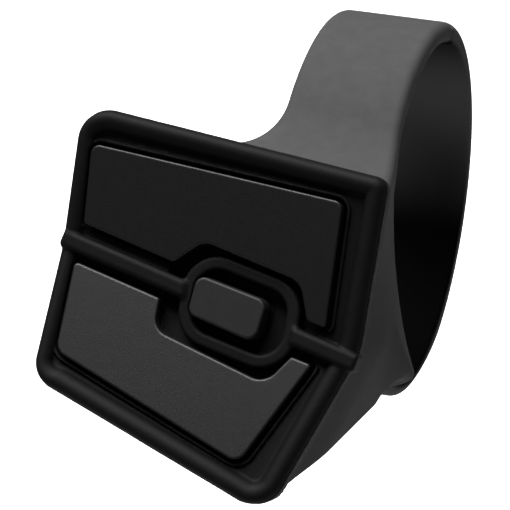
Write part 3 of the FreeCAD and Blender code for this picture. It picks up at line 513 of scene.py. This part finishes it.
def moulding(name, field, low, high, step):
    """A mesh object of a field."""
    step *= 1.0
    points, quads, normals = surface_net(field, low, high, step)
    mesh = bpy.data.meshes.new(name)
    mesh.vertices.add(len(points))
    mesh.vertices.foreach_set("co", (to_row(points) * MM).ravel())
    mesh.loops.add(quads.size)
    mesh.loops.foreach_set("vertex_index", quads.ravel())
    mesh.polygons.add(len(quads))
    mesh.polygons.foreach_set("loop_start", np.arange(0, quads.size, 4))
    mesh.update(calc_edges=True)
    mesh.validate()
    mesh.polygons.foreach_set("use_smooth", np.ones(len(mesh.polygons), bool))
    mesh.normals_split_custom_set_from_vertices(to_row(normals))
    thing = bpy.data.objects.new(name, mesh)
    bpy.context.scene.collection.objects.link(thing)
    print("%s: %d faces" % (name, len(quads)))
    return thing


# ---- materials -----------------------------------------------------------------------------


class Finish:
    """A procedural material, built node by node."""

    def __init__(self, name):
        self.material = bpy.data.materials.new(name)
        self.material.use_nodes = True
        self.tree = self.material.node_tree
        self.shader = self.tree.nodes["Principled BSDF"]
        self.place = self.tree.nodes.new("ShaderNodeTexCoord").outputs["Object"]

    def node(self, kind, **values):
        made = self.tree.nodes.new(kind)
        for key, value in values.items():
            if hasattr(made, key):
                setattr(made, key, value)
            else:
                made.inputs[key.replace("_", " ")].default_value = value
        return made

    def link(self, source, target):
        self.tree.links.new(source, target)

    def noise(self, size_mm, detail=3.0, roughness=0.55):
        made = self.node("ShaderNodeTexNoise", Scale=1.0 / (size_mm * MM), Detail=detail,
                         Roughness=roughness)
        self.link(self.place, made.inputs["Vector"])
        return made.outputs["Fac"]

    def spread(self, source, low, high, start=0.3, stop=0.7):
        """A noise between two numbers."""
        made = self.node("ShaderNodeMapRange")
        made.inputs["From Min"].default_value = start
        made.inputs["From Max"].default_value = stop
        made.inputs["To Min"].default_value = low
        made.inputs["To Max"].default_value = high
        self.link(source, made.inputs["Value"])
        return made.outputs["Result"]

    def colours(self, source, dark, light, start=0.3, stop=0.7):
        """A noise between two colours."""
        made = self.node("ShaderNodeValToRGB")
        made.color_ramp.elements[0].position = start
        made.color_ramp.elements[0].color = (*dark, 1)
        made.color_ramp.elements[1].position = stop
        made.color_ramp.elements[1].color = (*light, 1)
        self.link(source, made.inputs["Fac"])
        return made.outputs["Color"]

    def bump(self, height, strength, distance_mm):
        """Adds a bump on top of those already there."""
        made = self.node("ShaderNodeBump", Strength=strength, Distance=distance_mm * MM)
        self.link(height, made.inputs["Height"])
        previous = self.shader.inputs["Normal"].links
        if previous:
            self.link(previous[0].from_socket, made.inputs["Normal"])
        self.link(made.outputs["Normal"], self.shader.inputs["Normal"])

    def set(self, **values):
        for key, value in values.items():
            self.shader.inputs[key.replace("_", " ")].default_value = value


# A moulded surface's mottling and slow waves are this many grains long.
MOTTLE_SIZE, WAVE_SIZE = 9, 30
# The waves' bump strength, and both bumps' heights in grains.
WAVE_STRENGTH, WAVE_HEIGHT, GRAIN_HEIGHT = 0.1, 1.2, 0.45
# Roughness wanders by this much below and above its mean.
ROUGH_BELOW, ROUGH_ABOVE = 0.05, 0.07


def moulded(name, shade, rough, grain, bump, specular=0.5, spots=0.12, metal=0.0):
    """A moulded plastic or rubber: fine grain, faint mottling and a slight unevenness of gloss."""
    f = Finish(name)
    dark = tuple(c * (1 - spots) for c in shade)
    light = tuple(c * (1 + spots) for c in shade)
    fine = f.noise(grain, detail=4.0, roughness=0.6)
    f.link(f.colours(f.noise(grain * MOTTLE_SIZE), dark, light), f.shader.inputs["Base Color"])
    f.link(f.spread(fine, rough - ROUGH_BELOW, rough + ROUGH_ABOVE), f.shader.inputs["Roughness"])
    f.bump(f.noise(grain * WAVE_SIZE, detail=2.0), WAVE_STRENGTH, grain * WAVE_HEIGHT)
    f.bump(fine, bump, grain * GRAIN_HEIGHT)
    f.set(Specular_IOR_Level=specular, Metallic=metal)
    return f.material


# The soft-touch coat starts this far outside the bore's radius and is whole at the second, in mm;
# inside that, the bore's colour is painted light and shade.
COAT_EDGE = (0.1, 0.5)
COAT_DARK, COAT_LIGHT = (0.053, 0.053, 0.0535), (0.060, 0.060, 0.0605)
# The bore's painted light and shade between two heights, in metres: painted shade at the bottom, a
# painted light half way up and painted shade at the top.
BORE_PAINT_HEIGHTS, BORE_PAINT_TOP_AT = (-0.010, 0.016), 0.95
BORE_PAINTED_SHADE_LOW, BORE_PAINTED_LIGHT_MIDDLE, BORE_PAINTED_SHADE_TOP = (0.0003,) * 3, (0.11, 0.11, 0.11, 1), (0.004,) * 3
BORE_SPECULAR, COAT_SPECULAR = 0.03, 0.12


def soft_touch():
    """The housing's and band's soft-touch coat; inside the bore the colour is painted light and
    shade by height.
    """
    f = Finish("soft_touch")
    fine = f.noise(size_mm=0.13, detail=4.0, roughness=0.62)
    across = f.node("ShaderNodeSeparateXYZ")
    f.link(f.place, across.inputs["Vector"])
    square = f.node("ShaderNodeCombineXYZ")
    f.link(across.outputs["Y"], square.inputs["Y"])
    f.link(across.outputs["Z"], square.inputs["Z"])
    radius = f.node("ShaderNodeVectorMath", operation="LENGTH")
    f.link(square.outputs["Vector"], radius.inputs[0])
    starts, whole = ((BORE + edge) * MM for edge in COAT_EDGE)
    coat = f.spread(radius.outputs["Value"], 0.0, 1.0, starts, whole)

    # Painted shade and light in the bore by height: near black at the bottom, a grey painted light
    # half way up, dark painted shade again at the top.
    height = f.spread(across.outputs["Z"], 0.0, 1.0, *BORE_PAINT_HEIGHTS)
    bore_painted_shading = f.colours(height, BORE_PAINTED_SHADE_LOW, BORE_PAINTED_SHADE_TOP, 0.0, BORE_PAINT_TOP_AT)
    bore_painted_shading.node.color_ramp.interpolation = "EASE"
    middle = bore_painted_shading.node.color_ramp.elements.new(0.5)
    middle.color = BORE_PAINTED_LIGHT_MIDDLE

    shade = f.node("ShaderNodeMixRGB")
    f.link(coat, shade.inputs["Fac"])
    f.link(bore_painted_shading, shade.inputs["Color1"])
    f.link(f.colours(f.noise(size_mm=1.3), COAT_DARK, COAT_LIGHT), shade.inputs["Color2"])
    f.link(shade.outputs["Color"], f.shader.inputs["Base Color"])
    f.link(f.spread(fine, low=0.70, high=0.82), f.shader.inputs["Roughness"])
    f.bump(f.noise(size_mm=4.0, detail=2.0), strength=0.06, distance_mm=0.15)
    f.bump(fine, strength=0.6, distance_mm=0.06)
    specular = f.spread(coat, BORE_SPECULAR, COAT_SPECULAR, 0.0, 1.0)
    f.link(specular, f.shader.inputs["Specular IOR Level"])
    return f.material


SOFT_TOUCH = soft_touch()
# Name, shade, roughness, grain in mm, grain's bump strength; then specular, mottling and metal.
RUBBER = moulded("boot_rubber", (0.0045, 0.0045, 0.0045), 0.60, 0.10, 0.40, 0.11)
KEY_PLASTIC = moulded("key_plastic", (0.004, 0.004, 0.0041), 0.42, 0.08, 0.40, 0.43)
NUB_PLASTIC = moulded("nub_plastic", (0.007, 0.007, 0.0071), 0.54, 0.08, 0.40, 0.38)
PLATE = moulded("plate_plastic", (0.05, 0.05, 0.052), 0.45, 0.2, 0.2)
SWITCH = moulded("switch_plastic", (0.035, 0.035, 0.036), 0.4, 0.15, 0.15)
PLUNGER = moulded("plunger_plastic", (0.55, 0.54, 0.50), 0.4, 0.15, 0.15, 0.5, 0.05)
CONNECTOR = moulded("connector_plastic", (0.62, 0.60, 0.54), 0.42, 0.15, 0.15, 0.5, 0.05)
CHIP = moulded("chip_resin", (0.02, 0.02, 0.021), 0.6, 0.08, 0.3)
CERAMIC = moulded("capacitor_ceramic", (0.32, 0.22, 0.14), 0.35, 0.1, 0.15, 0.5, 0.08)
STEEL = moulded("blackened_steel", (0.30, 0.30, 0.31), 0.34, 0.1, 0.12, 0.5, 0.1, 1.0)
SPRING_STEEL = moulded("dome_steel", (0.62, 0.60, 0.56), 0.22, 0.1, 0.06, 0.5, 0.05, 1.0)

MASK_DARK, MASK_LIGHT = (0.008, 0.05, 0.022), (0.012, 0.075, 0.032)


def laminate():
    """Green solder mask over a faint glass weave."""
    f = Finish("board_laminate")
    weave = f.node("ShaderNodeTexWave", Scale=900.0, Distortion=0.4, Detail=1.0)
    f.link(f.place, weave.inputs["Vector"])
    mask = f.colours(f.noise(size_mm=1.2), MASK_DARK, MASK_LIGHT)
    f.link(mask, f.shader.inputs["Base Color"])
    f.bump(weave.outputs["Fac"], strength=0.15, distance_mm=0.02)
    f.link(f.spread(f.noise(size_mm=0.3), low=0.26, high=0.36), f.shader.inputs["Roughness"])
    return f.material


LAMINATE = laminate()

CARRIED_OVER = {
    "key_frame": PLATE, "circuit_board": LAMINATE, "controller_chip": CHIP,
    "board_capacitors": CERAMIC, "lead_connector": CONNECTOR, "cable_gland": RUBBER,
    "frame_screws": STEEL, "board_screws": STEEL, "clamp_screw": STEEL, "clamp_nut": STEEL,
    "screw_washer": STEEL,
}
for side in POSTS:
    CARRIED_OVER[side + "_switch_case"] = SWITCH
    CARRIED_OVER[side + "_switch_plunger"] = PLUNGER
    CARRIED_OVER[side + "_switch_dome"] = SPRING_STEEL
for node, material in CARRIED_OVER.items():
    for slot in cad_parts[node].material_slots:
        slot.material = material


# ---- pieces --------------------------------------------------------------------------------

# Mesh steps in mm: finer where a piece's details are smaller.
SHELL_STEP, BOOT_STEP, KEY_STEP, NUB_STEP = 0.3, 0.18, 0.13, 0.08


def piece(name, field, low, high, step, material, body, node):
    """A moulding that stands for a CAD node and rides on a body."""
    made = moulding(name, field, low, high, step)
    made.data.materials.append(material)
    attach(made, body)
    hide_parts(node)
    return made


piece("housing_shell", housing, (-21.8, -29.0, -31.0), (9.0, 0.0, 18.0), SHELL_STEP, SOFT_TOUCH,
      "housing", "housing")
piece("clamp_band_ring", band, (-6.5, -8.5, -23.5), (6.5, 18.0, 18.0), SHELL_STEP, SOFT_TOUCH,
      "clamp_band", "clamp_band")
piece("boot_cover", boot, (-21.6, -28.5, -29.5), (7.6, -21.5, 3.5), BOOT_STEP, RUBBER,
      "housing", "front_boot")
piece("upper_key_cap", big_key("upper", upper_outline, upper_block), (-19.4, -27.0, -13.0),
      (4.0, -21.0, 0.0), KEY_STEP, KEY_PLASTIC, "upper_key", "upper_key")
piece("lower_key_cap", big_key("lower", lower_outline, lower_block), (-19.6, -27.2, -25.4),
      (3.4, -21.0, -10.0), KEY_STEP, KEY_PLASTIC, "lower_key", "lower_key")
piece("centre_key_cap", centre_key, (-8.7, -25.4, -15.3), (-1.2, -21.4, -9.5), NUB_STEP,
      NUB_PLASTIC, "centre_key", "centre_key")


# ---- camera, floor and light ---------------------------------------------------------------


EYE, AIM = Vector((58.9, -205.4, 129.9)) * MM, Vector((-9.9, -5.3, -3.8)) * MM
UPWARDS = Vector((-0.1432, 0.4994, 0.8545))
LENS, SENSOR = 189.2, 36.0
NEAR, FAR = 0.01, 20.0
WORLD_LIGHT = 0.09
FLOOR_DROP, FLOOR_HALF = 0.12, 3.0           # metres under the part, and half the floor's width
FLOOR_DARK, FLOOR_LIGHT = (0.54, 0.54, 0.54), (0.56, 0.56, 0.56)
SPOT_BLEND, SPOT_RADIUS = 0.3, 0.03


def camera():
    forward = (AIM - EYE).normalized()
    right = forward.cross(UPWARDS).normalized()
    up = right.cross(forward)
    data = bpy.data.cameras.new("camera")
    data.lens = LENS
    data.sensor_width = SENSOR
    data.clip_start, data.clip_end = NEAR, FAR
    made = bpy.data.objects.new("camera", data)
    turn = Matrix((right, up, -forward)).transposed().to_4x4()
    made.matrix_world = Matrix.Translation(EYE) @ turn
    bpy.context.scene.collection.objects.link(made)
    bpy.context.scene.camera = made


def hang(name, data, place, aim):
    """Puts a light in its place, turned towards its aim."""
    made = bpy.data.objects.new(name, data)
    made.location = place
    made.rotation_euler = (Vector(aim) - Vector(place)).to_track_quat("-Z", "Y").to_euler()
    bpy.context.scene.collection.objects.link(made)


def area_light(name, place, aim, size, power):
    data = bpy.data.lights.new(name, "AREA")
    data.shape = "RECTANGLE"
    data.size, data.size_y = size
    data.energy = power
    hang(name, data, place, aim)


def spot_light(name, place, aim, cone, power):
    """A soft-edged spot; it whitens the floor behind the part without lighting the part."""
    data = bpy.data.lights.new(name, "SPOT")
    data.spot_size = cone
    data.spot_blend = SPOT_BLEND
    data.shadow_soft_size = SPOT_RADIUS
    data.energy = power
    hang(name, data, place, aim)


def floor(level):
    half = FLOOR_HALF
    mesh = bpy.data.meshes.new("floor")
    mesh.from_pydata([(-half, -half, level), (half, -half, level), (half, half, level),
                      (-half, half, level)], [], [(0, 1, 2, 3)])
    made = bpy.data.objects.new("floor", mesh)
    bpy.context.scene.collection.objects.link(made)
    f = Finish("pale_floor")
    shade = f.colours(f.noise(size_mm=60.0), FLOOR_DARK, FLOOR_LIGHT)
    f.link(shade, f.shader.inputs["Base Color"])
    f.set(Roughness=0.9, Specular_IOR_Level=0.1)
    mesh.materials.append(f.material)


scene = bpy.context.scene
scene.view_settings.view_transform = "Standard"
world = bpy.data.worlds.new("studio")
world.use_nodes = True
background = world.node_tree.nodes["Background"]
background.inputs["Color"].default_value = (1.0, 1.0, 1.0, 1)
background.inputs["Strength"].default_value = WORLD_LIGHT
scene.world = world

camera()
floor(cad_box[0].z - FLOOR_DROP)
area_light("overhead", place=(-0.13, 0.04, 0.45), aim=(-0.005, -0.02, 0.0), size=(0.36, 0.45),
           power=5.4)
spot_light("backdrop", place=(-0.10, 0.32, 0.22), aim=(-0.085, 0.20, -0.138),
           cone=math.radians(34), power=17.0)
